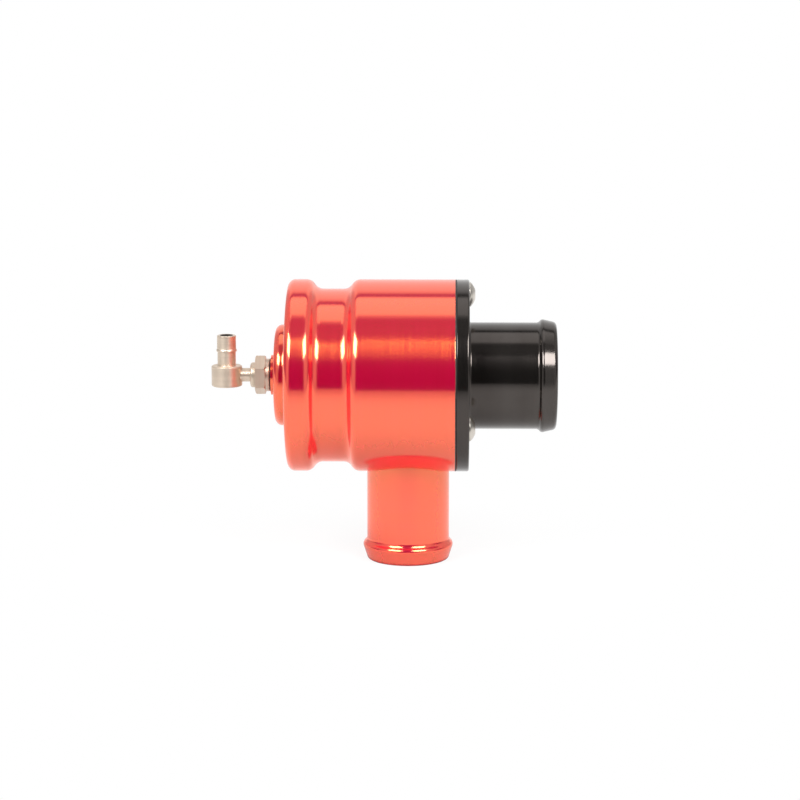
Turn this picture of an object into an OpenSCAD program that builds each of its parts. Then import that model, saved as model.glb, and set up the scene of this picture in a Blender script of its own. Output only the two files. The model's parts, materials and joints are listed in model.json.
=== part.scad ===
// Blow off valve. A turned cup holds a spring loaded piston, a bolted flange with a hose tail is
// the inlet and the piston's seat, a hose tail below is the outlet, and a swivel elbow on the
// closed end takes the signal hose. All sizes are in millimetres.
// The origin is the middle of the outlet tail's open end, Z is up and X runs along the main axis
// towards the inlet.

/* [Body] */
// outside diameter of the body and of the flange
body_d = 45; // [40:0.5:50]
// length of the body, from its closed face to the flange joint
body_len = 39.4; // [36:0.1:44]
// distance from the flange joint to the outlet axis
outlet_from_joint = 11.3; // [10.4:0.1:13]
// height of the main axis above the outlet's open end
axis_h = 43.8; // [39:0.1:52]
// rounding of the closed end's outer edge
face_round = 1.7; // [0.8:0.1:2.2]
// small rounding of the body's edge at the flange joint
joint_round = 0.35; // [0.1:0.05:0.5]
// length of the rim beside the closed face, up to the waist groove's side
rim_len = 4.25; // [3.5:0.05:5.5]
// length of the barrel between the waist groove's side and the flange joint
barrel_len = 22.45; // [21.6:0.05:24]
// depth of the waist groove
groove_depth = 2.2; // [1.6:0.1:2.8]
// slope of the waist groove's sides, in degrees from the axis
groove_slope = 54; // [45:1:65]
// radius of the two blends on each side of the waist groove
groove_blend = 2.3; // [1:0.05:2.8]
// diameter of the raised disc on the closed face
disc_d = 23.7; // [21:0.1:27]
// height of the raised disc
disc_h = 3; // [2:0.1:3.6]
// rounding of the raised disc's edge
disc_round = 1.6; // [0.5:0.1:2]
// fillet at the foot of the raised disc
disc_root = 0.4; // [0.2:0.1:0.8]
// diameter of the seat pad below the signal fitting
pad_d = 9.4; // [8.6:0.1:11]
// height of the seat pad
pad_h = 1.05; // [0.5:0.05:1.4]
// wall between the piston's bore and the body's outside
bore_wall = 7.5; // [6.8:0.1:8.4]
// thickness of the body's closed wall
wall_t = 3; // [2.5:0.1:3.4]

/* [Outlet] */
// outside diameter of the outlet hose tail
outlet_d = 19.4; // [17:0.1:21]
// wall of the outlet hose tail
outlet_wall = 1.7; // [1.2:0.1:2.2]
// height of the outlet bead above the tail
outlet_bead_h = 0.9; // [0.6:0.05:1.3]
// distance from the open end to the outlet bead's crest
outlet_bead_at = 3.4; // [3:0.1:4]
// slope of the outlet bead on the hose side, in degrees
outlet_ramp = 28; // [22:1:40]
// slope of the outlet bead on the open side, in degrees
outlet_taper = 18; // [12:1:22]
// rounding of the outlet bead's crest
outlet_crest = 0.8; // [0.5:0.1:1.2]
// rounding of the outlet's open end
outlet_nose = 0.75; // [0.5:0.05:0.9]
// wall left between the piston's bore and the end of the outlet hose tail
outlet_seat_wall = 2; // [1.4:0.1:2.6]
// step by which the body's port is smaller than the tail's bore
port_step = 0.3; // [0.2:0.1:0.8]

/* [Inlet] */
// thickness of the inlet flange
flange_t = 3; // [2.5:0.1:3.6]
// rounding of the flange's outer edges
flange_round = 0.45; // [0.2:0.05:0.6]
// length of the inlet hose tail, from the flange's face
inlet_len = 20.4; // [17:0.1:26]
// outside diameter of the inlet hose tail
inlet_d = 25; // [22.5:0.1:27.5]
// wall of the inlet hose tail
inlet_wall = 2; // [1.6:0.1:2.5]
// height of the inlet bead above the tail
inlet_bead_h = 0.75; // [0.5:0.05:1.2]
// distance from the open end to the inlet bead's crest
inlet_bead_at = 3.2; // [2.8:0.1:4]
// slope of the inlet bead on the hose side, in degrees
inlet_ramp = 28; // [20:1:40]
// slope of the inlet bead on the open side, in degrees
inlet_taper = 13; // [10:1:18]
// rounding of the inlet bead's crest
inlet_crest = 0.9; // [0.5:0.1:1.2]
// rounding of the inlet's open end
inlet_nose = 1.1; // [0.6:0.1:1.2]
// fillet between the flange and the inlet hose tail
inlet_root = 0.5; // [0.2:0.1:0.9]
// length of the flange's spigot in the body's bore
spigot_len = 2; // [1.8:0.1:2.6]

/* [Flange screws] */
// distance of the screws from the flange's outside
screw_inset = 3.3; // [3.1:0.05:3.6]
// thread diameter of the flange screws
screw_d = 3; // [2.6:0.1:3.3]
// diameter of a screw's button head
screw_head_d = 5.7; // [5:0.1:6.2]
// height of a screw's button head
screw_head_h = 1.5; // [1.2:0.05:1.6]
// height of the straight edge below a button head's dome
screw_head_edge = 0.25; // [0.1:0.05:0.4]
// width across the flats of a screw's socket
screw_socket = 2; // [1.5:0.1:2.2]
// depth of a screw's socket
screw_socket_h = 0.85; // [0.6:0.05:1]
// length of a screw under its head
screw_len = 9; // [7:0.5:10]
// depth of a threaded hole beyond its screw's tip
screw_hole_over = 1; // [0.5:0.1:2]

/* [Piston] */
// length of the piston
piston_len = 22.8; // [21:0.1:25]
// thickness of the piston's face
piston_face = 3.2; // [2.8:0.1:4]
// wall of the piston round its spring pocket
piston_wall = 3.45; // [3:0.05:4.2]
// distance between the piston's face and the seat when the valve is closed
seat_gap = 0.15; // [0.1:0.01:0.3]
// distance from the piston's open end to the middle of its seal
piston_seal_at = 4.6; // [4.4:0.1:6]
// distance from the piston's open end to the middle of its guide ring
guide_at = 1.95; // [1.7:0.05:2.1]
// width of the guide ring
guide_w = 1.6; // [1.3:0.1:1.8]
// thickness of the guide ring
guide_t = 0.9; // [0.7:0.05:1.1]
// rounding of the piston's edges
piston_round = 0.35; // [0.2:0.05:0.5]

/* [Seals] */
// cord diameter of the flange seal and of the piston's face seal
small_cord = 1.5; // [1.3:0.05:1.7]
// cord diameter of the piston's sliding seal
slide_cord = 1.8; // [1.6:0.05:2]
// part of a cord's diameter that its groove squeezes away
squeeze = 0.12; // [0.08:0.01:0.16]
// width of a seal groove as a multiple of the cord
groove_room = 1.13; // [1.06:0.01:1.16]

/* [Spring] */
// wire diameter of the spring
wire_d = 1.6; // [1.2:0.1:1.9]
// radial room between the spring and the piston's pocket
coil_room = 1.7; // [1:0.1:2.2]
// number of coils, the closed ends included
coils = 7.5; // [6:0.5:8]
// thickness of the spring seat
spring_seat_t = 0.8; // [0.5:0.1:1]
// radial room between the spring seat and the piston's pocket
seat_room = 0.5; // [0.3:0.05:1]
// height of the locating boss under the spring
boss_h = 2; // [1.4:0.1:3]
// radial room between the boss and the spring
boss_room = 0.3; // [0.15:0.05:0.5]

/* [Signal fitting] */
// thread diameter of the hex stud
stud_d = 5; // [4.6:0.1:5.5]
// length of the stud's thread below the gasket
stud_len = 4.6; // [4:0.1:5.2]
// depth of the stud's hole beyond its thread
stud_hole_over = 0.6; // [0.3:0.1:1]
// diameter of the signal passage in the body
passage_d = 2.5; // [1.8:0.1:3]
// thickness of the gasket
gasket_t = 0.3; // [0.2:0.05:0.8]
// outside diameter of the gasket
gasket_d = 7.7; // [7:0.1:8.4]
// diameter of the stud's round flange
stud_flange_d = 7.65; // [7:0.05:8]
// thickness of the stud's round flange
stud_flange_t = 1; // [0.8:0.05:1.4]
// width across the stud's flats
hex_af = 8; // [7.4:0.1:8.8]
// thickness of the stud's hexagon
hex_t = 2.4; // [2.2:0.1:3]
// turn of the hexagon, in degrees
hex_turn = 3; // [0:1:30]
// edge break on the hexagon's corners
hex_break = 0.2; // [0.1:0.05:0.4]
// diameter of the crimped collar
collar_d = 5.9; // [5.4:0.1:6.4]
// length of the crimped collar
collar_len = 1.2; // [1:0.1:1.6]
// rounding of the crimped collar's end
collar_round = 0.55; // [0.2:0.05:0.6]
// thickness of the crimped lip that holds the stem
lip_t = 0.85; // [0.6:0.05:1]
// diameter of the swivel stem
stem_d = 3.2; // [2.8:0.1:3.5]
// thickness of the stem's flange behind the lip
stem_flange_t = 1; // [0.7:0.1:1.2]
// cord diameter of the stem's seal
stem_cord = 0.75; // [0.6:0.05:0.85]
// visible length of the swivel stem
stem_gap = 2; // [1:0.05:4]
// through bore of the swivel stem and of the stud
stem_bore_d = 1.6; // [1.2:0.1:1.8]
// diameter of the elbow's block
block_d = 7.2; // [6.4:0.1:8]
// height of the elbow's block above the main axis
block_up = 2.2; // [1.95:0.05:3]
// depth of the elbow's block below the main axis
block_down = 2.6; // [2.3:0.05:3.2]
// edge break of the elbow's block
block_break = 0.2; // [0.1:0.05:0.45]
// diameter of the elbow's hose barb
barb_d = 4.3; // [3.9:0.05:4.8]
// wall of the elbow's hose barb
barb_wall = 0.65; // [0.5:0.05:1]
// height of the barb's end above the main axis
barb_up = 9.4; // [8.6:0.1:12]
// height of the barb's ridge above the main axis
ridge_up = 5.65; // [5:0.05:6.5]
// how far the ridge stands out from the barb
ridge_h = 0.25; // [0.15:0.05:0.4]
// length of the ridge along the barb
ridge_len = 0.6; // [0.4:0.1:1]
// how far the lead-in above the ridge stands out from the barb
lead_h = 0.08; // [0.04:0.02:0.14]
// edge break of the barb's end
barb_break = 0.15; // [0.05:0.05:0.3]
// fillet between the barb and the block
barb_root = 0.25; // [0.1:0.05:0.5]
// bore in the elbow's block, from the barb to the stem
block_bore_d = 1.8; // [1.4:0.1:2.2]
// depth of the block's bore below the stem's bore
block_bore_over = 0.4; // [0.2:0.1:0.6]

/* [Fits] */
// radial play of the piston in its bore
piston_play = 0.05; // [0.03:0.01:0.08]
// radial play of a sliding seal and of the guide ring
seal_play = 0.03; // [0.02:0.01:0.06]
// radial play of the flange's spigot in the bore
spigot_play = 0.08; // [0.04:0.01:0.12]
// radial room round a bonded or screwed in piece
bond_gap = 0.02; // [0.01:0.01:0.04]
// radial room round a screw in the flange
screw_room = 0.15; // [0.1:0.05:0.3]
// play of the swivel stem in the stud
swivel_play = 0.04; // [0.02:0.01:0.08]
// radial room of a loose washer or gasket round what it sits on
washer_room = 0.1; // [0.05:0.01:0.2]

/* [Hidden] */
$fn = 96;
body_r = body_d / 2;
bore_r = body_r - bore_wall;
x_joint = outlet_from_joint;
x_face = x_joint - body_len;
x_disc = x_face - disc_h;
x_pad = x_disc - pad_h;
x_chamber = x_face + wall_t;
x_seat = x_joint - spigot_len;
x_flange = x_joint + flange_t;
x_inlet = x_flange + inlet_len;
// the waist groove's sides, each with a blend above and a blend below its slope
groove_r = body_r - groove_depth;
blend_r = min(groove_blend, groove_depth / 2 / (1 - cos(groove_slope)));
slope_run = (groove_depth - 2 * blend_r * (1 - cos(groove_slope))) / tan(groove_slope);
side_run = slope_run + 2 * blend_r * sin(groove_slope);
// the hose tails
outlet_r = outlet_d / 2;
outlet_bore_r = outlet_r - outlet_wall;
outlet_seat = bore_r + outlet_seat_wall;
inlet_r = inlet_d / 2;
inlet_bore_r = inlet_r - inlet_wall;
// the flange seal sits round the spigot, in the body's mouth
spigot_r = bore_r - spigot_play;
mouth_depth = small_cord * (1 - squeeze);
mouth_r = spigot_r + small_cord * groove_room;
bolt_r = body_r - screw_inset;
hole_depth = screw_len - flange_t + screw_hole_over;
// the piston stands in its closed place
piston_front = x_seat - seat_gap;
piston_back = piston_front - piston_len;
pocket_x = piston_front - piston_face;
piston_r = bore_r - piston_play;
pocket_r = piston_r - piston_wall;
seal_floor = bore_r - slide_cord * (1 - squeeze);
seal_w = slide_cord * groove_room;
seal_x = piston_back + piston_seal_at;
guide_x = piston_back + guide_at;
face_seal_r = (inlet_bore_r + spigot_r) / 2;
face_depth = small_cord * (1 - squeeze) - seat_gap;
face_w = small_cord * groove_room;
// the spring stands between its seat and the piston's pocket
spring_x = x_chamber + spring_seat_t;
spring_len = pocket_x - spring_x;
coil_r = pocket_r - coil_room - wire_d / 2;
boss_r = coil_r - wire_d / 2 - boss_room;
// places along the signal fitting, from the pad outwards
x_gasket = x_pad - gasket_t;
x_hex = x_gasket - stud_flange_t;
x_collar = x_hex - hex_t;
x_neck = x_collar - collar_len;
x_block = x_neck - stem_gap - block_d / 2;
stem_r = stem_d / 2;
cavity_r = stem_r + stem_cord * (1 - squeeze);
cavity_x = x_neck + lip_t;
cavity_end = x_hex + washer_room;
stem_in = x_block + block_bore_d / 2 + block_bore_over;
barb_r = barb_d / 2;

// a solid turned about the main axis; its outline is drawn as radius and place along X
module turned() {
    translate([0, 0, axis_h])
        rotate([0, 90, 0])
            rotate_extrude()
                children();
}

// the outline of a plain ring between two radii and two places
module ring(r_in, r_out, from, to) {
    translate([r_in, from])
        square([r_out - r_in, to - from]);
}

// what a rounding takes off an outer edge; side is 1 where the edge looks along the axis
module edge_cut(r_edge, at, rad, side) {
    over = 0.2;
    translate([r_edge - rad, at - side * rad])
        mirror([0, side > 0 ? 0 : 1])
            difference() {
                square(rad + over);
                circle(rad);
            }
}

// what a fillet adds at the foot of a wall; side is 1 where the wall looks along the axis
module root_fill(r_foot, at, rad, side) {
    under = 0.1;
    translate([r_foot + rad, at + side * rad])
        mirror([0, side > 0 ? 0 : 1])
            difference() {
                translate([-rad - under, -rad - under])
                    square(rad + under);
                circle(rad);
            }
}

// the outline of a hose tail, drawn from its open end: bead, rounded nose and plain tube
module tail_outline(tube_r, bead_r, bead_at, ramp, taper, crest, nose, len) {
    crest_r = bead_r - crest;
    nose_r = crest_r + (crest - nose - sin(taper) * (bead_at - nose)) / cos(taper);
    ramp_r = crest_r + crest * cos(ramp);
    ramp_at = bead_at + crest * sin(ramp) + (ramp_r - tube_r) / tan(ramp);
    polygon([
        [0, 0],
        [nose_r, 0],
        [nose_r + nose * cos(taper), nose - nose * sin(taper)],
        [crest_r + crest * cos(taper), bead_at - crest * sin(taper)],
        [ramp_r, bead_at + crest * sin(ramp)],
        [tube_r, ramp_at],
        [tube_r, len],
        [0, len]
    ]);
    translate([crest_r, bead_at])
        circle(crest);
    translate([nose_r, nose])
        circle(nose);
}

// a seal's section: a cord pressed flat between two places along the axis
module flat_cord(mean_r, cord, from, to) {
    intersection() {
        translate([mean_r, (from + to) / 2])
            circle(d = cord);
        ring(mean_r - cord, mean_r + cord, from, to);
    }
}

// a seal's section: a cord pressed flat between two radii
module tall_cord(r_in, r_out, cord, at) {
    intersection() {
        translate([(r_in + r_out) / 2, at])
            circle(d = cord);
        ring(r_in, r_out, at - cord, at + cord);
    }
}

// the places of the flange screws: three on a circle, one at the top
module at_screws() {
    for (turn = [0 : 120 : 240])
        translate([0, bolt_r * sin(turn), axis_h + bolt_r * cos(turn)])
            children();
}

// the room of the waist groove beside the body's outline, the same on both of its sides
module waist_groove() {
    rim_x = x_face + rim_len;
    barrel_x = x_joint - barrel_len;
    top_r = body_r - blend_r;
    low_r = groove_r + blend_r;
    run_r = blend_r * cos(groove_slope);
    run_x = blend_r * sin(groove_slope);
    difference() {
        polygon([
            [body_r, rim_x],
            [body_r + 1, rim_x],
            [body_r + 1, barrel_x],
            [body_r, barrel_x],
            [top_r + run_r, barrel_x - run_x],
            [low_r - run_r, barrel_x - side_run + run_x],
            [groove_r, barrel_x - side_run],
            [groove_r, rim_x + side_run],
            [low_r - run_r, rim_x + side_run - run_x],
            [top_r + run_r, rim_x + run_x]
        ]);
        for (at = [rim_x, barrel_x])
            translate([top_r, at])
                circle(blend_r);
    }
    for (at = [rim_x + side_run, barrel_x - side_run])
        translate([low_r, at])
            circle(blend_r);
}

module body_outline() {
    difference() {
        union() {
            difference() {
                ring(0, body_r, x_face, x_joint);
                waist_groove();
                edge_cut(body_r, x_face, face_round, -1);
                edge_cut(body_r, x_joint, joint_round, 1);
            }
            difference() {
                ring(0, disc_d / 2, x_disc, x_face + 1);
                edge_cut(disc_d / 2, x_disc, disc_round, -1);
            }
            ring(0, pad_d / 2, x_pad, x_disc + 1);
            root_fill(disc_d / 2, x_face, disc_root, -1);
        }
        // piston bore with the boss that keeps the spring in the middle
        ring(boss_r, bore_r, x_chamber, x_joint + 1);
        ring(0, bore_r, x_chamber + boss_h, x_joint + 1);
        // mouth for the flange seal
        ring(0, mouth_r, x_joint - mouth_depth, x_joint + 1);
        // threaded hole of the signal fitting and the passage behind it
        ring(0, stud_d / 2 + bond_gap, x_pad - 1, x_gasket + stud_len + stud_hole_over);
        ring(0, passage_d / 2, x_pad, x_chamber + boss_h + 1);
    }
}

module body() {
    color("#d81e3f")
        difference() {
            turned()
                body_outline();
            // outlet seat and port
            cylinder(h = axis_h - outlet_seat, r = outlet_r + bond_gap);
            cylinder(h = axis_h, r = outlet_bore_r - port_step);
            // threaded holes of the flange screws
            at_screws()
                translate([x_joint - hole_depth, 0, 0])
                    rotate([0, 90, 0])
                        cylinder(h = hole_depth + 1, r = screw_d / 2 + bond_gap);
        }
}

module outlet_hose_tail() {
    len = axis_h - outlet_seat;
    color("#d81e3f")
        rotate_extrude()
            difference() {
                tail_outline(outlet_r, outlet_r + outlet_bead_h, outlet_bead_at, outlet_ramp,
                             outlet_taper, outlet_crest, outlet_nose, len);
                ring(-1, outlet_bore_r, -1, len + 1);
            }
}

module inlet_flange() {
    tail = inlet_len + flange_t;
    color("#262221")
        difference() {
            turned()
                difference() {
                    union() {
                        ring(0, body_r, x_joint, x_flange);
                        ring(0, spigot_r, x_seat, x_joint + 1);
                        root_fill(inlet_r, x_flange, inlet_root, 1);
                        translate([0, x_inlet])
                            mirror([0, 1])
                                tail_outline(inlet_r, inlet_r + inlet_bead_h, inlet_bead_at,
                                             inlet_ramp, inlet_taper, inlet_crest, inlet_nose,
                                             tail);
                    }
                    edge_cut(body_r, x_joint, flange_round, -1);
                    edge_cut(body_r, x_flange, flange_round, 1);
                    ring(-1, inlet_bore_r, x_seat - 1, x_inlet + 1);
                }
            at_screws()
                translate([x_joint - 1, 0, 0])
                    rotate([0, 90, 0])
                        cylinder(h = flange_t + 2, r = screw_d / 2 + screw_room);
        }
}

// a button head screw with a hex socket, its head's underside at the origin and its tip along -X
module button_screw() {
    head_r = screw_head_d / 2;
    dome = screw_head_h - screw_head_edge;
    dome_r = (head_r * head_r + dome * dome) / (2 * dome);
    rotate([0, 90, 0])
        difference() {
            rotate_extrude()
                union() {
                    intersection() {
                        ring(0, head_r, 0, screw_head_h);
                        translate([0, screw_head_h - dome_r])
                            intersection() {
                                circle(dome_r);
                                ring(0, dome_r, -dome_r, dome_r);
                            }
                    }
                    ring(0, screw_d / 2, -screw_len, 0.1);
                }
            translate([0, 0, screw_head_h - screw_socket_h])
                cylinder(h = 2, d = screw_socket / cos(30), $fn = 6);
        }
}

module flange_screws() {
    color("#b9b6b0")
        at_screws()
            translate([x_flange, 0, 0])
                button_screw();
}

module flange_o_ring() {
    color("#1c1c1c")
        turned()
            flat_cord((spigot_r + mouth_r) / 2, small_cord, x_joint - mouth_depth, x_joint);
}

module piston() {
    color("#c9c9c6")
        turned()
            difference() {
                ring(0, piston_r, piston_back, piston_front);
                ring(-1, pocket_r, piston_back - 1, pocket_x);
                ring(seal_floor, bore_r + 1, seal_x - seal_w / 2, seal_x + seal_w / 2);
                ring(bore_r - guide_t, bore_r + 1, guide_x - guide_w / 2, guide_x + guide_w / 2);
                ring(face_seal_r - face_w / 2, face_seal_r + face_w / 2,
                     piston_front - face_depth, piston_front + 1);
                edge_cut(piston_r, piston_front, piston_round, 1);
                edge_cut(piston_r, piston_back, piston_round, -1);
            }
}

module piston_seal() {
    color("#1c1c1c")
        turned()
            tall_cord(seal_floor, bore_r - seal_play, slide_cord, seal_x);
}

module piston_guide_ring() {
    color("#e8e4d8")
        turned()
            ring(bore_r - guide_t, bore_r - seal_play, guide_x - guide_w / 2,
                 guide_x + guide_w / 2);
}

module piston_face_seal() {
    color("#1c1c1c")
        turned()
            flat_cord(face_seal_r, small_cord, piston_front - face_depth, x_seat - seal_play);
}

// the height of the wire's middle along the spring: closed end coils and an even pitch between
function coil_rise(turn) =
    let (end = wire_d * 1.06, first = wire_d * 0.4)
    let (pitch = (spring_len - 2 * first - 2 * end) / (coils - 2))
    turn < 1 ? first + end * turn
    : turn > coils - 1 ? spring_len - first - end * (coils - turn)
    : first + end + pitch * (turn - 1);

// a point on the wire, with the spring's ends ground flat
function wire_point(turn, side) =
    let (out = coil_r + wire_d / 2 * cos(side))
    let (up = coil_rise(turn) + wire_d / 2 * sin(side))
    [out * cos(360 * turn), out * sin(360 * turn), min(max(up, 0), spring_len)];

module spring() {
    sides = 10;
    rings = 20 * coils;
    points = [for (i = [0 : rings], j = [0 : sides - 1]) wire_point(i / 20, 360 * j / sides)];
    walls = [for (i = [0 : rings - 1], j = [0 : sides - 1], half = [0, 1])
        let (a = i * sides + j, b = i * sides + (j + 1) % sides)
        half == 0 ? [a, b, b + sides] : [a, b + sides, a + sides]];
    ends = [
        [for (j = [0 : sides - 1]) sides - 1 - j],
        [for (j = [0 : sides - 1]) rings * sides + j]
    ];
    color("#8f9296")
        translate([spring_x, 0, axis_h])
            rotate([0, 90, 0])
                polyhedron(points, concat(walls, ends));
}

module spring_seat() {
    color("#a8aaac")
        turned()
            ring(boss_r + washer_room, pocket_r - seat_room, x_chamber, spring_x);
}

module hex_stud() {
    hex_r = hex_af / 2 / cos(30);
    over = 1;
    // the cone that breaks the hexagon's corners is this much steeper than 45 degrees
    cone = 1.7;
    cone_r = hex_r - cone * hex_break;
    color("#d8cdb8")
        difference() {
            union() {
                turned()
                    union() {
                        ring(0, stud_d / 2, x_gasket - over / 2, x_gasket + stud_len);
                        difference() {
                            ring(0, stud_flange_d / 2, x_hex - over / 2, x_gasket);
                            edge_cut(stud_flange_d / 2, x_gasket, stud_flange_t / 5, 1);
                        }
                        difference() {
                            ring(0, collar_d / 2, x_neck, x_collar + over / 2);
                            edge_cut(collar_d / 2, x_neck, collar_round, -1);
                        }
                    }
                intersection() {
                    translate([x_collar, 0, axis_h])
                        rotate([0, 90, 0])
                            rotate([0, 0, hex_turn])
                                cylinder(h = hex_t, r = hex_r, $fn = 6);
                    turned()
                        polygon([
                            [0, x_collar - over],
                            [cone_r - cone * over, x_collar - over],
                            [hex_r, x_collar + hex_break],
                            [hex_r, x_hex - hex_break],
                            [cone_r - cone * over, x_hex + over],
                            [0, x_hex + over]
                        ]);
                }
            }
            turned()
                union() {
                    ring(0, stem_bore_d / 2, x_neck - over, x_gasket + stud_len + over);
                    ring(0, stem_r + swivel_play, x_neck - over, cavity_x + lip_t / 5);
                    ring(0, cavity_r, cavity_x, cavity_end);
                }
        }
}

module stud_gasket() {
    color("#2a2a2c")
        turned()
            ring(stud_d / 2 + washer_room, gasket_d / 2, x_gasket, x_pad);
}

module swivel_stem() {
    color("#d8cdb8")
        turned()
            difference() {
                union() {
                    ring(0, stem_r, stem_in, cavity_end - swivel_play);
                    ring(0, cavity_r - swivel_play, cavity_x + swivel_play,
                         cavity_x + swivel_play + stem_flange_t);
                }
                ring(-1, stem_bore_d / 2, stem_in - 1, cavity_end + 1);
            }
}

module stem_o_ring() {
    at = cavity_x + swivel_play + stem_flange_t + stem_cord / 2;
    color("#1c1c1c")
        turned()
            tall_cord(stem_r, cavity_r - seal_play, stem_cord, at);
}

// the outline of the elbow, drawn from the main axis upwards: block, barb, ridge and lead-in
module elbow_outline() {
    ridge_r = barb_r + ridge_h;
    lead_r = barb_r + lead_h;
    difference() {
        union() {
            polygon([
                [0, -block_down],
                [block_d / 2 - block_break, -block_down],
                [block_d / 2, block_break - block_down],
                [block_d / 2, block_up - block_break],
                [block_d / 2 - block_break, block_up],
                [0, block_up]
            ]);
            polygon([
                [0, 0],
                [barb_r, 0],
                [barb_r, ridge_up],
                [ridge_r, ridge_up],
                [ridge_r, ridge_up + ridge_len / 2],
                [lead_r, ridge_up + ridge_len],
                [lead_r, barb_up - barb_break],
                [lead_r - barb_break, barb_up],
                [0, barb_up]
            ]);
            root_fill(barb_r, block_up, barb_root, 1);
        }
        ring(-1, barb_r - barb_wall, block_up, barb_up + 1);
        ring(-1, block_bore_d / 2, -stem_bore_d / 2 - block_bore_over, barb_up);
    }
}

module elbow() {
    color("#d8cdb8")
        difference() {
            translate([x_block, 0, axis_h])
                rotate_extrude()
                    elbow_outline();
            // socket for the swivel stem and the passage behind it
            translate([stem_in, 0, axis_h])
                rotate([0, 90, 0])
                    cylinder(h = block_d, r = stem_r + bond_gap);
            translate([x_block, 0, axis_h])
                rotate([0, 90, 0])
                    cylinder(h = block_d, r = stem_bore_d / 2);
        }
}

body();
outlet_hose_tail();
inlet_flange();
flange_screws();
flange_o_ring();
piston();
piston_seal();
piston_guide_ring();
piston_face_seal();
spring();
spring_seat();
hex_stud();
stud_gasket();
swivel_stem();
stem_o_ring();
elbow();
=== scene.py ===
import json
import math

import bmesh
import bpy
from mathutils import Matrix, Vector


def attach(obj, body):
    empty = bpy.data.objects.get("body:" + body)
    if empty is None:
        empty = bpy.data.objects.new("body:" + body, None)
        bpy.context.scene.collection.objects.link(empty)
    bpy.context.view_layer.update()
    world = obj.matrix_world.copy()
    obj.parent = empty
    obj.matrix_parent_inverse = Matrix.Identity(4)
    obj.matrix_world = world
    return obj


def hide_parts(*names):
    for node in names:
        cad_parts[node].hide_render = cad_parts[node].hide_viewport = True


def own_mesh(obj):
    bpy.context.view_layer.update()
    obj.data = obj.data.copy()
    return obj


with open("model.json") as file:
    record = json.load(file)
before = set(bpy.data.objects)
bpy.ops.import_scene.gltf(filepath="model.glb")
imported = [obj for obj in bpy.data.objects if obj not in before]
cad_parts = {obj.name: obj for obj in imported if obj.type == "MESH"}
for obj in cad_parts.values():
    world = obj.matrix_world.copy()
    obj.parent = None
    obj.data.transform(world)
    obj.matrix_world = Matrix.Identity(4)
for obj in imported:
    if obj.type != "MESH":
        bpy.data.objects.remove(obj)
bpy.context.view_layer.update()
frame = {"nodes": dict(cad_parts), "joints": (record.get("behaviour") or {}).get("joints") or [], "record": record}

MM = 0.001
MOUNTS = {mount["name"]: mount for mount in frame["record"]["mounts"]}
JOINTS = {joint["name"]: joint for joint in frame["joints"]}
# height of the main axis, which lies along X
AXIS_HEIGHT = MOUNTS["inlet_port"]["pos_m"][2]
# edges that turn by more than this stay sharp
SHARP_ANGLE = math.radians(35)
# steps round a turned piece, and the way outwards at each
TURN_STEPS = 192
TURNS = [(math.cos(math.tau * s / TURN_STEPS), math.sin(math.tau * s / TURN_STEPS))
         for s in range(TURN_STEPS)]
# breaks along the turned rings, as a share of the lines across them
RING_BREAKS = 0.003
# handling marks in a metre of metal, and specks for each mark
MARKS_PER_METRE = 90.0
SPECKS_PER_MARK = 22.0
# brightness of the room round the main axis, in degrees from the front over the top to the back
ROOM_SHADES = ((0, 0.005), (31, 0.01), (58, 0.06), (64, 0.14), (80, 0.14), (84, 0.5), (114.5, 0.6),
               (116.5, 0.08), (122.5, 0.08), (126.5, 0.65), (133, 0.92), (180, 1.0))
# brightness of the room's two sides, and of its far ends along the main axis
SIDE_SHADE = 0.52
END_SHADE = 0.08
WHITE = (1, 1, 1, 1)
# width and height of the picture in pixels
IMAGE_SIDE = 800


# node helpers; a mix node's inputs are 0 for the share, 2 and 3 for values, 6 and 7 for colours
def add(tree, kind, place=(0, 0), **settings):
    """A node of that kind, with its plain settings."""
    made = tree.nodes.new(kind)
    made.location = place
    for name, value in settings.items():
        setattr(made, name, value)
    return made


def join(tree, source, target):
    """A link from an output to an input."""
    tree.links.new(source, target)


def set_inputs(node, **values):
    """Constants on a node's own sockets; underscores stand for blanks."""
    for name, value in values.items():
        node.inputs[name.replace("_", " ")].default_value = value


def product(tree, first, second, place):
    """Two values multiplied."""
    times = add(tree, "ShaderNodeMath", place, operation="MULTIPLY")
    join(tree, first, times.inputs[0])
    join(tree, second, times.inputs[1])
    return times.outputs["Value"]


def mixed_values(tree, share, first, second, place):
    """Two values mixed by a share, which is a number or a socket."""
    mix = add(tree, "ShaderNodeMix", place, data_type="FLOAT")
    if isinstance(share, float):
        mix.inputs[0].default_value = share
    else:
        join(tree, share, mix.inputs[0])
    join(tree, first, mix.inputs[2])
    join(tree, second, mix.inputs[3])
    return mix.outputs[0]


def mixed_shaders(tree, share, first, second, place):
    """Two shaders mixed by a share: the first at 0, the second at 1."""
    mix = add(tree, "ShaderNodeMixShader", place)
    join(tree, share, mix.inputs["Fac"])
    join(tree, first, mix.inputs[1])
    join(tree, second, mix.inputs[2])
    return mix.outputs["Shader"]


def between(tree, mask, low, high, place):
    """Spreads a mask between two values."""
    spread = add(tree, "ShaderNodeMapRange", place)
    set_inputs(spread, To_Min=low, To_Max=high)
    join(tree, mask, spread.inputs["Value"])
    return spread.outputs["Result"]


def fade(tree, value, span, strengths, place):
    """A smooth change from one strength to another over a span of a value."""
    smooth = add(tree, "ShaderNodeMapRange", place, interpolation_type="SMOOTHSTEP")
    set_inputs(smooth, From_Min=span[0], From_Max=span[1], To_Min=strengths[0],
               To_Max=strengths[1])
    join(tree, value, smooth.inputs["Value"])
    return smooth.outputs["Result"]


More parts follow.
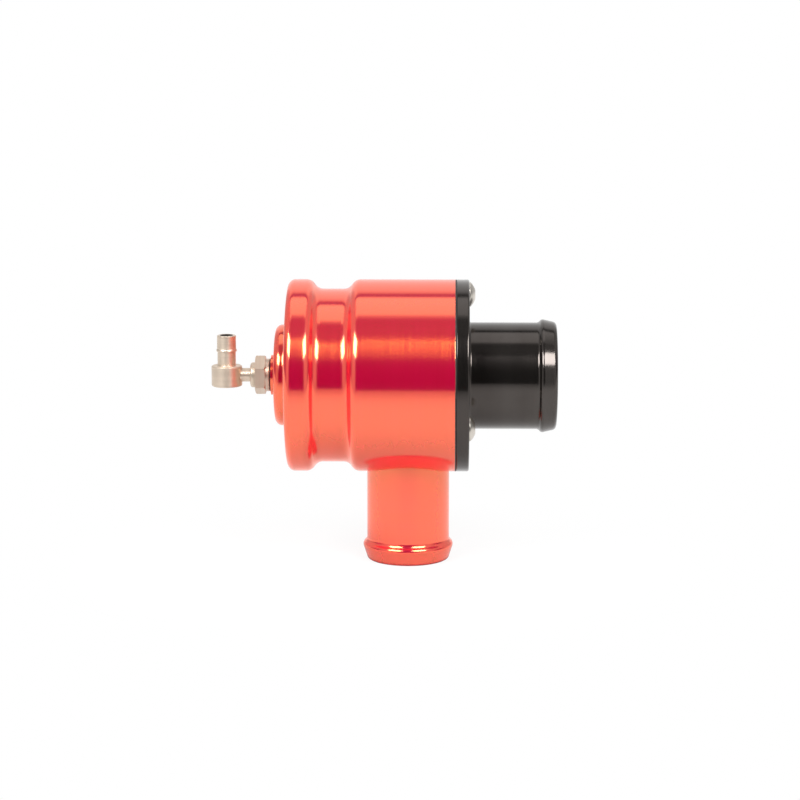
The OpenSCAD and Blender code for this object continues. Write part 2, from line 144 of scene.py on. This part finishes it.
# effects that several finishes share
def new_group(name, numbers, results):
    """An empty node group that takes a place and numbers, with its way in and its way out."""
    group = bpy.data.node_groups.new(name, "ShaderNodeTree")
    face = group.interface
    face.new_socket("Place", in_out="INPUT", socket_type="NodeSocketVector")
    for number in numbers:
        face.new_socket(number, in_out="INPUT", socket_type="NodeSocketFloat")
    for result in results:
        face.new_socket(result, in_out="OUTPUT", socket_type="NodeSocketFloat")
    return group, add(group, "NodeGroupInput", (-900, 0)), add(group, "NodeGroupOutput", (500, 0))


def turning_lines_group():
    """Fine rings that a lathe tool leaves: narrow along the axis, long round it."""
    offset, streak_scale = (0, 0.5, 0.3), (0.22, 0.6, 0.6)
    group, entry, leave = new_group("turning_lines", ("Lines per metre", "Breaks per metre"),
                                    ("Lines", "Streaks"))
    stretch = add(group, "ShaderNodeCombineXYZ", (-700, -80))
    join(group, entry.outputs["Lines per metre"], stretch.inputs["X"])
    join(group, entry.outputs["Breaks per metre"], stretch.inputs["Y"])
    join(group, entry.outputs["Breaks per metre"], stretch.inputs["Z"])
    spread = add(group, "ShaderNodeVectorMath", (-500, 0), operation="MULTIPLY_ADD")
    spread.inputs[2].default_value = offset
    join(group, entry.outputs["Place"], spread.inputs[0])
    join(group, stretch.outputs["Vector"], spread.inputs[1])
    fine = add(group, "ShaderNodeTexNoise", (-280, 120))
    set_inputs(fine, Scale=1.0, Detail=1.0, Roughness=0.5)
    join(group, spread.outputs["Vector"], fine.inputs["Vector"])
    wide_place = add(group, "ShaderNodeVectorMath", (-500, -220), operation="MULTIPLY")
    wide_place.inputs[1].default_value = streak_scale
    join(group, spread.outputs["Vector"], wide_place.inputs[0])
    wide = add(group, "ShaderNodeTexNoise", (-280, -160))
    set_inputs(wide, Scale=1.0, Detail=2.0, Roughness=0.5)
    join(group, wide_place.outputs["Vector"], wide.inputs["Vector"])
    sharp = add(group, "ShaderNodeMapRange", (0, 120))
    set_inputs(sharp, From_Min=0.36, From_Max=0.64)
    join(group, fine.outputs["Fac"], sharp.inputs["Value"])
    join(group, sharp.outputs["Result"], leave.inputs["Lines"])
    join(group, wide.outputs["Fac"], leave.inputs["Streaks"])
    return group


def handling_marks_group():
    """Soft cloudy marks of handling and drying that vary gloss and colour a little."""
    group, entry, leave = new_group("handling_marks", ("Size per metre",), ("Marks", "Specks"))
    cloud = add(group, "ShaderNodeTexNoise", (-450, 100))
    set_inputs(cloud, Detail=4.0, Roughness=0.55, Distortion=0.4)
    join(group, entry.outputs["Place"], cloud.inputs["Vector"])
    join(group, entry.outputs["Size per metre"], cloud.inputs["Scale"])
    shape = add(group, "ShaderNodeMapRange", (-200, 100))
    set_inputs(shape, From_Min=0.35, From_Max=0.7)
    join(group, cloud.outputs["Fac"], shape.inputs["Value"])
    grain_scale = add(group, "ShaderNodeMath", (-450, -180), operation="MULTIPLY")
    grain_scale.inputs[1].default_value = SPECKS_PER_MARK
    join(group, entry.outputs["Size per metre"], grain_scale.inputs[0])
    grain = add(group, "ShaderNodeTexNoise", (-250, -180))
    set_inputs(grain, Detail=2.0, Roughness=0.6)
    join(group, entry.outputs["Place"], grain.inputs["Vector"])
    join(group, grain_scale.outputs["Value"], grain.inputs["Scale"])
    join(group, shape.outputs["Result"], leave.inputs["Marks"])
    join(group, grain.outputs["Fac"], leave.inputs["Specks"])
    return group


TURNING_LINES = turning_lines_group()
HANDLING_MARKS = handling_marks_group()


# finishes
def new_finish(name):
    """An empty material with its shader and output."""
    finish = bpy.data.materials.new(name)
    finish.use_nodes = True
    tree = finish.node_tree
    tree.nodes.clear()
    shader = add(tree, "ShaderNodeBsdfPrincipled", (300, 0))
    result = add(tree, "ShaderNodeOutputMaterial", (620, 0))
    join(tree, shader.outputs["BSDF"], result.inputs["Surface"])
    return finish, tree, shader


def place_node(tree, axis="X"):
    """Object coordinates, turned so that the lathe axis comes first."""
    coords = add(tree, "ShaderNodeTexCoord", (-1400, 0))
    if axis == "X":
        return coords.outputs["Object"]
    turn = add(tree, "ShaderNodeMapping", (-1200, 0))
    turn.inputs["Rotation"].default_value = (0, math.radians(90), 0)
    join(tree, coords.outputs["Object"], turn.inputs["Vector"])
    return turn.outputs["Vector"]


def two_tones(tree, mask, dark, light, place):
    """A colour between two tones, chosen by a mask."""
    tone = add(tree, "ShaderNodeValToRGB", place)
    for stop, position, colour in zip(tone.color_ramp.elements, (0.3, 0.7), (dark, light)):
        stop.position = position
        stop.color = (*colour, 1)
    join(tree, mask, tone.inputs["Fac"])
    return tone.outputs["Color"]


def relief(tree, shader, height, depth, place=(0, -420)):
    """Small relief from a height between 0 and 1, its depth in metres."""
    bump = add(tree, "ShaderNodeBump", place)
    set_inputs(bump, Strength=1.0, Distance=depth)
    join(tree, height, bump.inputs["Height"])
    join(tree, bump.outputs["Normal"], shader.inputs["Normal"])


def turned_metal(name, axis, dark, light, gloss, lines, depth, metallic=1.0, stretch=0.6):
    """Lathe turned metal and its shader: rings round the axis, gloss blurred along it."""
    marks_in_tone, marks_in_gloss = 0.3, 0.12
    finish, tree, shader = new_finish(name)
    place = place_node(tree, axis)
    rings = add(tree, "ShaderNodeGroup", (-900, 150), node_tree=TURNING_LINES)
    set_inputs(rings, Lines_per_metre=lines, Breaks_per_metre=lines * RING_BREAKS)
    join(tree, place, rings.inputs["Place"])
    marks = add(tree, "ShaderNodeGroup", (-900, -200), node_tree=HANDLING_MARKS)
    set_inputs(marks, Size_per_metre=MARKS_PER_METRE)
    join(tree, place, marks.inputs["Place"])
    tone = mixed_values(tree, marks_in_tone, rings.outputs["Streaks"], marks.outputs["Marks"],
                        (-650, 150))
    join(tree, two_tones(tree, tone, dark, light, (-350, 250)), shader.inputs["Base Color"])
    rough = mixed_values(tree, marks_in_gloss, rings.outputs["Lines"], marks.outputs["Marks"],
                         (-650, -60))
    join(tree, between(tree, rough, *gloss, (-350, 0)), shader.inputs["Roughness"])
    relief(tree, shader, rings.outputs["Lines"], depth)
    way = add(tree, "ShaderNodeTangent", (0, -650), direction_type="RADIAL", axis=axis)
    join(tree, way.outputs["Tangent"], shader.inputs["Tangent"])
    set_inputs(shader, Metallic=metallic, Anisotropic=stretch, Anisotropic_Rotation=0.25)
    return finish, shader


def red_anodised(axis):
    """Clear red dye on turned metal, under a glossy coat."""
    finish, shader = turned_metal(
        "red_anodised_" + axis.lower(), axis, dark=(0.95, 0.0004, 0.072),
        light=(0.99, 0.0008, 0.08), gloss=(0.135, 0.18), lines=4000.0, depth=0.2e-6,
        metallic=0.0, stretch=0.85)
    set_inputs(shader, IOR=3.9, Specular_IOR_Level=0.93, Specular_Tint=(1.0, 0.227, 0.0325, 1),
               Coat_Weight=1.0, Coat_Roughness=0.16, Coat_IOR=1.7)
    return finish


def nickel_plate(axis):
    """Warm, satin plating, and its shader."""
    return turned_metal(
        "nickel_plate_" + axis.lower(), axis, dark=(0.66, 0.545, 0.435),
        light=(0.79, 0.665, 0.54), gloss=(0.36, 0.5), lines=6000.0, depth=0.6e-6,
        metallic=0.88, stretch=0.4)


def drilled_nickel():
    """The elbow's plating, with painted shade inside its drilled bore."""
    port = MOUNTS["signal_port"]
    margin, painted_bore_shade = 0.1, (0.06, 0.052, 0.045, 1)
    axis_x = port["pos_m"][0]
    bore_r = (port["dims"]["r_mm"] + margin) * MM
    bore_foot = port["pos_m"][2] - (port["dims"]["length_mm"] + margin) * MM
    finish, shader = nickel_plate("Z")
    tree = finish.node_tree
    coords = add(tree, "ShaderNodeTexCoord", (-1400, 700))
    parts = add(tree, "ShaderNodeSeparateXYZ", (-1200, 600))
    join(tree, coords.outputs["Object"], parts.inputs["Vector"])
    from_axis = add(tree, "ShaderNodeVectorMath", (-1200, 800), operation="MULTIPLY_ADD")
    from_axis.inputs[1].default_value = (1, 1, 0)
    from_axis.inputs[2].default_value = (-axis_x, 0, 0)
    join(tree, coords.outputs["Object"], from_axis.inputs[0])
    reach = add(tree, "ShaderNodeVectorMath", (-1000, 800), operation="LENGTH")
    join(tree, from_axis.outputs["Vector"], reach.inputs[0])
    inside = add(tree, "ShaderNodeMath", (-800, 800), operation="LESS_THAN")
    inside.inputs[1].default_value = bore_r
    join(tree, reach.outputs["Value"], inside.inputs[0])
    above = add(tree, "ShaderNodeMath", (-800, 600), operation="GREATER_THAN")
    above.inputs[1].default_value = bore_foot
    join(tree, parts.outputs["Z"], above.inputs[0])
    # inside the bore the plating gives way to a near black base colour: painted shade
    bore = product(tree, inside.outputs["Value"], above.outputs["Value"], (-600, 700))
    tone = add(tree, "ShaderNodeMix", (0, 400), data_type="RGBA")
    plating = shader.inputs["Base Color"].links[0].from_socket
    join(tree, bore, tone.inputs[0])
    join(tree, plating, tone.inputs[6])
    tone.inputs[7].default_value = painted_bore_shade
    join(tree, tone.outputs[2], shader.inputs["Base Color"])
    return finish


def plain_material(name, dark, light, gloss, size, depth):
    """Moulded rubber or plastic: cloudy tone, varied gloss and a fine skin."""
    finish, tree, shader = new_finish(name)
    place = place_node(tree)
    marks = add(tree, "ShaderNodeGroup", (-900, 0), node_tree=HANDLING_MARKS)
    set_inputs(marks, Size_per_metre=size)
    join(tree, place, marks.inputs["Place"])
    join(tree, two_tones(tree, marks.outputs["Marks"], dark, light, (-350, 250)),
         shader.inputs["Base Color"])
    join(tree, between(tree, marks.outputs["Specks"], *gloss, (-350, 0)),
         shader.inputs["Roughness"])
    relief(tree, shader, marks.outputs["Specks"], depth)
    return finish


def dress(node, finish):
    """Gives a CAD node its finish."""
    piece = frame["nodes"][node]
    piece.data.materials.clear()
    piece.data.materials.append(finish)


red_main = red_anodised("X")
red_upright = red_anodised("Z")
nickel_main, _ = nickel_plate("X")
nickel_elbow = drilled_nickel()
black, _ = turned_metal(
    "black_anodised", "X", dark=(0.074, 0.064, 0.059), light=(0.09, 0.08, 0.074),
    gloss=(0.135, 0.16), lines=1700.0, depth=0.1e-6, metallic=0.92, stretch=0.3)
steel, _ = turned_metal(
    "stainless", "X", dark=(0.64, 0.59, 0.53), light=(0.76, 0.71, 0.645),
    gloss=(0.24, 0.4), lines=12000.0, depth=0.3e-6, stretch=0.2)
aluminium, _ = turned_metal(
    "bare_aluminium", "X", dark=(0.6, 0.6, 0.6), light=(0.76, 0.76, 0.75),
    gloss=(0.2, 0.36), lines=5000.0, depth=0.8e-6)
wire, _ = turned_metal(
    "spring_steel", "X", dark=(0.3, 0.31, 0.33), light=(0.46, 0.47, 0.49),
    gloss=(0.22, 0.4), lines=3000.0, depth=0.6e-6, stretch=0.0)
rubber = plain_material(
    "seal_rubber", dark=(0.012, 0.012, 0.013), light=(0.03, 0.03, 0.03),
    gloss=(0.45, 0.65), size=400.0, depth=4e-6)
slide_plastic = plain_material(
    "slide_plastic", dark=(0.7, 0.68, 0.62), light=(0.82, 0.8, 0.75),
    gloss=(0.35, 0.5), size=300.0, depth=3e-6)

dress("body", red_main)
dress("outlet_hose_tail", red_upright)
dress("inlet_flange", black)
dress("spring", wire)
dress("flange_screws", steel)
dress("spring_seat", steel)
dress("hex_stud", nickel_main)
dress("swivel_stem", nickel_main)
dress("elbow", nickel_elbow)
dress("piston", aluminium)
dress("piston_guide_ring", slide_plastic)
for seal in ("flange_o_ring", "piston_seal", "piston_face_seal", "stud_gasket", "stem_o_ring"):
    dress(seal, rubber)


# shape helpers, in millimetres
def shade(mesh):
    """Smooth shading where the mesh is round."""
    mesh.shade_smooth()
    mesh.set_sharp_from_angle(angle=SHARP_ANGLE)


def smooth_piece(name, points, faces, finish):
    """A rigid piece of the housing from its points in metres and its faces."""
    mesh = bpy.data.meshes.new(name)
    mesh.from_pydata(points, [], faces)
    shape = bmesh.new()
    shape.from_mesh(mesh)
    bmesh.ops.recalc_face_normals(shape, faces=shape.faces[:])
    shape.to_mesh(mesh)
    shape.free()
    shade(mesh)
    mesh.materials.append(finish)
    piece = bpy.data.objects.new(name, mesh)
    bpy.context.scene.collection.objects.link(piece)
    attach(piece, "housing")
    return piece


def arc(middle, radius, start, end, steps=10):
    """Points on an arc, its angles in degrees from straight outwards."""
    turns = [math.radians(start + (end - start) * i / steps) for i in range(steps + 1)]
    return [(middle[0] + radius * math.cos(a), middle[1] + radius * math.sin(a)) for a in turns]


def turned_faces(count):
    """The faces of a turning whose outline has that many points."""
    faces = []
    for step in range(TURN_STEPS):
        near, far = step * count, (step + 1) % TURN_STEPS * count
        faces += [(near + i, far + i, far + (i + 1) % count, near + (i + 1) % count)
                  for i in range(count)]
    return faces


def held(outline, room=0.1):
    """The closed outline with points close to the ends of its long straights, so they stay flat."""
    points = []
    for (r, h), (next_r, next_h) in zip(outline, outline[1:] + outline[:1]):
        points.append((r, h))
        length = math.hypot(next_r - r, next_h - h)
        if length > 4 * room:
            for share in (room / length, 1 - room / length):
                points.append((r + (next_r - r) * share, h + (next_h - h) * share))
    return points


def hose_end(tube_r, bead_h, bead_at, crest, nose, taper, steepest):
    """A hose tail's outline from its open end: nose, taper, and a bead curving into the tube."""
    lean, steep = math.radians(taper), math.radians(steepest)
    foot = bead_h / (1 - math.cos(steep)) - crest
    crest_mid = (tube_r + bead_h - crest, bead_at)
    nose_r = crest_mid[0] + (crest - nose - math.sin(lean) * (bead_at - nose)) / math.cos(lean)
    foot_mid = (tube_r + foot, bead_at + (crest + foot) * math.sin(steep))
    nose_arc = arc((nose_r, nose), nose, -90, -taper)
    crest_arc = arc(crest_mid, crest, -taper, steepest, steps=16)
    foot_arc = arc(foot_mid, foot, 180 + steepest, 180, steps=16)
    return nose_arc + crest_arc + foot_arc[1:]


def lying(outline):
    """Points of a turning about the main axis, from radii and places along it."""
    return [(x * MM, r * c * MM, AXIS_HEIGHT + r * s * MM) for c, s in TURNS for r, x in outline]


def drill_through(piece, middle, circle_r, turns, hole_r, length):
    """Holes along the main axis through a piece, on a circle about it."""
    shape = bmesh.new()
    along = Matrix.Rotation(math.pi / 2, 4, "Y")
    for degrees in turns:
        turn = math.radians(degrees)
        place = (middle * MM, circle_r * math.cos(turn) * MM,
                 AXIS_HEIGHT + circle_r * math.sin(turn) * MM)
        bmesh.ops.create_cone(shape, cap_ends=True, segments=48, radius1=hole_r * MM,
                              radius2=hole_r * MM, depth=length * MM,
                              matrix=Matrix.Translation(place) @ along)
    drill_mesh = bpy.data.meshes.new("drill")
    shape.to_mesh(drill_mesh)
    shape.free()
    drill = bpy.data.objects.new("drill", drill_mesh)
    bpy.context.scene.collection.objects.link(drill)
    holes = piece.modifiers.new("holes", "BOOLEAN")
    holes.operation = "DIFFERENCE"
    holes.object = drill
    drilled = bpy.data.meshes.new_from_object(
        piece.evaluated_get(bpy.context.evaluated_depsgraph_get()))
    piece.modifiers.clear()
    piece.data = drilled
    shade(drilled)
    bpy.data.objects.remove(drill)


# pieces made here, in millimetres
def outlet_tail():
    """The outlet's hose tail."""
    port = MOUNTS["outlet_port"]["dims"]
    bore_r, tube_r, length = port["r_mm"], 9.7, port["length_mm"]
    end = hose_end(tube_r, bead_h=0.9, bead_at=3.4, crest=1.1, nose=0.75, taper=18.0,
                   steepest=50.0)
    outline = held([(bore_r, 0.0)] + end + [(tube_r, length), (bore_r, length)])
    upright = [(r * c * MM, r * s * MM, h * MM) for c, s in TURNS for r, h in outline]
    tail = smooth_piece("outlet_tail", upright, turned_faces(len(outline)), red_upright)
    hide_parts("outlet_hose_tail")


def inlet_tail():
    """The bolted flange and its hose tail in one turning, with three screw holes."""
    port = MOUNTS["inlet_port"]
    end = port["pos_m"][0] / MM
    seat, joint, face = end - port["dims"]["length_mm"], 11.3, 14.3
    bore_r, spigot_r, tube_r, flange_r = port["dims"]["r_mm"], 14.92, 12.5, 22.5
    edge, joint_edge, root = 0.45, 0.25, 0.5
    tail = hose_end(tube_r, bead_h=0.75, bead_at=3.2, crest=0.95, nose=1.1, taper=13.0,
                    steepest=52.0)
    outline = [(bore_r, end)] + [(r, end - h) for r, h in tail]
    outline += arc((tube_r + root, face + root), root, 180, 270)
    outline += arc((flange_r - edge, face - edge), edge, 90, 0)
    outline += arc((flange_r - joint_edge, joint + joint_edge), joint_edge, 0, -90)
    outline += [(spigot_r, joint), (spigot_r, seat), (bore_r, seat)]
    outline = held(outline)
    flange = smooth_piece("inlet_tail", lying(outline), turned_faces(len(outline)), black)
    drill_through(flange, middle=(joint + face) / 2, circle_r=19.2, turns=(90, 210, 330),
                  hole_r=1.65, length=2 * (face - joint))
    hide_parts("inlet_flange")


def disc_fillet():
    """The soft foot of the raised disc on the closed end, laid over its sharper corner."""
    face_x, disc_r, foot, sunk = -28.1, 11.85, 0.9, 0.15
    outline = arc((disc_r + foot, face_x - foot), foot, 180, 90, steps=12)
    outline += [(disc_r + foot, face_x + sunk), (disc_r - sunk, face_x + sunk),
                (disc_r - sunk, face_x - foot)]
    smooth_piece("disc_fillet", lying(outline), turned_faces(len(outline)), red_main)


def joint_line():
    """The thin dark line in the rounded joint of body and flange."""
    inner_r, outer_r, start, end = 22.0, 22.48, 10.99, 11.32
    outline = [(inner_r, start), (outer_r, start), (outer_r, end), (inner_r, end)]
    smooth_piece("joint_line", lying(outline), turned_faces(len(outline)), rubber)


def coil_spring():
    """The spring's round wire, with closed and ground ends, made at one length, though the spring shortens as the
    piston opens.
    """
    lift = JOINTS["piston_lift"]
    start = lift["deforming_nodes"][0]["fixed_end_x_m"] / MM
    length, stroke = 30.25, lift["range_m"][1] / MM
    wire_r, coil_r, coils, sides, per_coil = 0.8, 9, 7.5, 16, 48
    # rise of a closed coil, and height of the wire's middle at a ground end
    closed, first = wire_r * 2.12, wire_r * 0.8
    pitch = (length - 2 * first - 2 * closed) / (coils - 2)
    points = []
    rings = int(per_coil * coils)
    for ring in range(rings + 1):
        turn = ring / per_coil
        if turn < 1:
            rise = first + closed * turn
        elif turn > coils - 1:
            rise = length - first - closed * (coils - turn)
        else:
            rise = first + closed + pitch * (turn - 1)
        for side in range(sides):
            wire_turn = math.tau * side / sides
            out = coil_r + wire_r * math.cos(wire_turn)
            along = min(max(rise + wire_r * math.sin(wire_turn), 0.0), length)
            points.append(((start + along) * MM, out * math.sin(math.tau * turn) * MM,
                           AXIS_HEIGHT - out * math.cos(math.tau * turn) * MM))
    faces = [(r * sides + i, r * sides + (i + 1) % sides, (r + 1) * sides + (i + 1) % sides,
              (r + 1) * sides + i) for r in range(rings) for i in range(sides)]
    faces += [tuple(range(sides)), tuple(rings * sides + i for i in range(sides))]
    spring = smooth_piece("coil_spring", points, faces, wire)
    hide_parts("spring")
    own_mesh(spring)


outlet_tail()
inlet_tail()
disc_fillet()
joint_line()
coil_spring()


# studio, in metres
def glow(tree, place):
    """A white emission."""
    lamp = add(tree, "ShaderNodeEmission", place)
    set_inputs(lamp, Color=WHITE, Strength=1.0)
    return lamp


def floor_finish():
    """White to the camera but for a soft shadow; in reflections a white glow with painted shadow near the object
    and round the outlet's rim, dimmer towards the front.
    """
    # the point under the object's middle, and radii of the outlet's rim that stands on the floor
    middle = (-8 * MM, 0, 0)
    rim = (9.2 * MM, 10.6 * MM)
    finish = bpy.data.materials.new("pale_floor")
    finish.use_nodes = True
    tree = finish.node_tree
    tree.nodes.clear()
    coords = add(tree, "ShaderNodeTexCoord", (-900, -100))
    place = coords.outputs["Object"]
    reach = add(tree, "ShaderNodeVectorMath", (-700, -100), operation="DISTANCE")
    reach.inputs[1].default_value = middle
    join(tree, place, reach.inputs[0])
    away = reach.outputs["Value"]
    parts = add(tree, "ShaderNodeSeparateXYZ", (-700, -300))
    join(tree, place, parts.inputs["Vector"])
    depth = parts.outputs["Y"]
    foot = add(tree, "ShaderNodeVectorMath", (-700, -500), operation="LENGTH")
    join(tree, place, foot.inputs[0])
    rays = add(tree, "ShaderNodeLightPath", (-500, 400))
    # the light that bounces off it, and what the camera sees
    matt = add(tree, "ShaderNodeBsdfDiffuse", (0, 100))
    bounce = fade(tree, depth, (-0.2, -0.06), (0.25, 0.98), (-300, 500))
    join(tree, bounce, matt.inputs["Color"])
    shadow = fade(tree, away, (0.01, 0.08), (0.88, 1.0), (-500, 100))
    seen = product(tree, rays.outputs["Is Camera Ray"], shadow, (-300, 300))
    direct = glow(tree, (0, -60))
    looked_at = mixed_shaders(tree, seen, matt.outputs["BSDF"], direct.outputs["Emission"],
                              (220, 60))
    # what shiny pieces mirror of it: a glow with painted shadow under the object and round the outlet's rim,
    # dimmer towards the front
    under = fade(tree, away, (0.0, 0.05), (0.6, 1.0), (-500, -100))
    # painted contact shadow in reflections, darkest inside the outlet's rim
    painted_contact_shadow = fade(tree, foot.outputs["Value"], rim, (0.1, 1.0), (-500, -500))
    front = fade(tree, depth, (-0.25, -0.08), (0.5, 1.0), (-500, -300))
    near = product(tree, under, painted_contact_shadow, (-300, -350))
    reflected = glow(tree, (0, -200))
    join(tree, product(tree, near, front, (-150, -200)), reflected.inputs["Strength"])
    both = mixed_shaders(tree, rays.outputs["Is Glossy Ray"], looked_at,
                         reflected.outputs["Emission"], (420, 0))
    # clear from below
    sheet = add(tree, "ShaderNodeNewGeometry", (420, 250))
    clear = add(tree, "ShaderNodeBsdfTransparent", (420, -150))
    one_sided = mixed_shaders(tree, sheet.outputs["Backfacing"], both, clear.outputs["BSDF"],
                              (620, 0))
    result = add(tree, "ShaderNodeOutputMaterial", (820, 0))
    join(tree, one_sided, result.inputs["Surface"])
    return finish


def studio_floor():
    """A pale floor, wide to the sides and the back, that ends nearer in front."""
    side, front = 6.0, 0.3
    mesh = bpy.data.meshes.new("floor")
    mesh.from_pydata([(-side, -front, 0), (side, -front, 0), (side, side, 0), (-side, side, 0)],
                     [], [(0, 1, 2, 3)])
    mesh.materials.append(floor_finish())
    floor = bpy.data.objects.new("floor", mesh)
    bpy.context.scene.collection.objects.link(floor)


def studio_room():
    """White to the camera, and a room that is dark in front and seen only in reflections."""
    world = bpy.data.worlds.new("studio")
    bpy.context.scene.world = world
    world.use_nodes = True
    tree = world.node_tree
    tree.nodes.clear()
    coords = add(tree, "ShaderNodeTexCoord", (-1100, 0))
    parts = add(tree, "ShaderNodeSeparateXYZ", (-900, 0))
    join(tree, coords.outputs["Generated"], parts.inputs["Vector"])
    front = add(tree, "ShaderNodeMath", (-700, -80), operation="MULTIPLY")
    front.inputs[1].default_value = -1.0
    join(tree, parts.outputs["Y"], front.inputs[0])
    angle = add(tree, "ShaderNodeMath", (-520, 0), operation="ARCTAN2")
    join(tree, parts.outputs["Z"], angle.inputs[0])
    join(tree, front.outputs["Value"], angle.inputs[1])
    turn = add(tree, "ShaderNodeMapRange", (-340, 0))
    set_inputs(turn, From_Min=0.0, From_Max=math.pi, To_Min=0.0, To_Max=1.0)
    join(tree, angle.outputs["Value"], turn.inputs["Value"])
    shades = add(tree, "ShaderNodeValToRGB", (-150, 0))
    ramp = shades.color_ramp
    first, *middle, last = ROOM_SHADES
    for stop, (degrees, brightness) in zip(ramp.elements, (first, last)):
        stop.position = degrees / 180
        stop.color = (brightness, brightness, brightness, 1)
    for degrees, brightness in middle:
        stop = ramp.elements.new(degrees / 180)
        stop.color = (brightness, brightness, brightness, 1)
    join(tree, turn.outputs["Result"], shades.inputs["Fac"])
    aside = add(tree, "ShaderNodeMath", (-700, -250), operation="ABSOLUTE")
    join(tree, parts.outputs["X"], aside.inputs[0])
    side = fade(tree, aside.outputs["Value"], (0.34, 0.52), (0.0, 1.0), (-520, -250))
    ends = fade(tree, aside.outputs["Value"], (0.9, 0.98), (SIDE_SHADE, END_SHADE), (-300, -400))
    walls = mixed_values(tree, side, shades.outputs["Color"], ends, (-50, -150))
    room = add(tree, "ShaderNodeBackground", (150, 0))
    set_inputs(room, Color=WHITE)
    join(tree, walls, room.inputs["Strength"])
    white = add(tree, "ShaderNodeBackground", (150, -150))
    set_inputs(white, Color=WHITE, Strength=1.0)
    rays = add(tree, "ShaderNodeLightPath", (0, 250))
    both = mixed_shaders(tree, rays.outputs["Is Camera Ray"], room.outputs["Background"],
                         white.outputs["Background"], (400, 0))
    result = add(tree, "ShaderNodeOutputWorld", (600, 0))
    join(tree, both, result.inputs["Surface"])


def look_from(thing, aim, way, distance):
    """Puts a lamp or camera at a distance from a point, that way from it, facing the point."""
    thing.location = aim + way * distance
    thing.rotation_euler = (-way).to_track_quat("-Z", "Y").to_euler()


def direction(elevation, azimuth):
    """A way out from the object, in degrees: elevation from the floor, azimuth 0 in front."""
    up, swing = math.radians(elevation), math.radians(azimuth)
    return Vector((math.cos(up) * math.sin(swing), -math.cos(up) * math.cos(swing), math.sin(up)))


def softbox(name, elevation, azimuth, width, height, watts, distance=0.9):
    """A soft lamp aimed at the object."""
    lamp = bpy.data.lights.new(name, "AREA")
    lamp.shape = "RECTANGLE"
    lamp.size = width
    lamp.size_y = height
    lamp.energy = watts
    holder = bpy.data.objects.new(name, lamp)
    bpy.context.scene.collection.objects.link(holder)
    look_from(holder, Vector((0, 0, AXIS_HEIGHT)), direction(elevation, azimuth), distance)


def photo_camera():
    """The photograph's view: a long lens, a little above and a little right of the object."""
    focal_px, sensor, distance = 2550.0, 36.0, 0.6
    aim = Vector((-1.93 * MM, 0, 37.9 * MM))
    lens = bpy.data.cameras.new("photo_camera")
    lens.sensor_width = sensor
    lens.lens = sensor * focal_px / IMAGE_SIDE
    lens.clip_start = 0.01
    lens.clip_end = 50.0
    camera = bpy.data.objects.new("photo_camera", lens)
    bpy.context.scene.collection.objects.link(camera)
    look_from(camera, aim, direction(elevation=10.1, azimuth=1.2), distance)
    bpy.context.scene.camera = camera


studio_floor()
studio_room()
softbox("left_softbox", elevation=40, azimuth=-39, width=0.48, height=0.35, watts=6.0)
softbox("right_softbox", elevation=40, azimuth=35, width=0.48, height=0.35, watts=6.0)
softbox("overhead_softbox", elevation=100.7, azimuth=0, width=0.74, height=0.51, watts=0.72)
photo_camera()
bpy.context.scene.view_settings.view_transform = "Standard"
